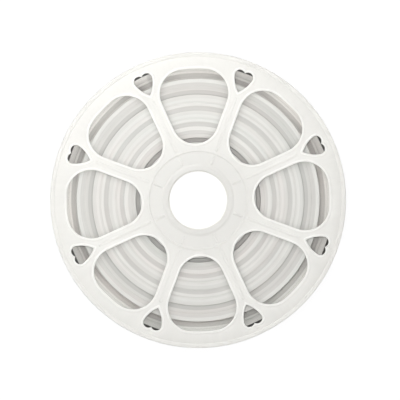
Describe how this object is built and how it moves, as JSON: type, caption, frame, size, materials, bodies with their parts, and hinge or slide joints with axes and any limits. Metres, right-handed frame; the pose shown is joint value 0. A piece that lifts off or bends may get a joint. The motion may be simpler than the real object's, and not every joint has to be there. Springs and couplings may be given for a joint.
{
  "type": "led neon flex on a reel",
  "caption": "Moulded plastic reel with petal-shaped and heart-shaped windows in both flanges, wound full of milky LED neon flex, lying on its rear flange.",
  "frame": {"origin": "centre of the bore in the plane that the rear flange rests on", "axes": "+Z along the reel's axis, out of the front flange; +Y is the top of the picture and +X its right-hand side"},
  "size_m": [0.475, 0.475, 0.18],
  "materials": {
    "reel_plastic": "satin moulded, slightly warm white",
    "core_plastic": "satin moulded, slightly warm white",
    "flex_jacket": "milky translucent soft plastic with a satin skin"
  },
  "bodies": {
    "root": {"front_flange": "reel_plastic", "rear_flange": "reel_plastic", "reel_core": "core_plastic", "neon_flex_coil": "flex_jacket"}
  },
  "joints": []
}
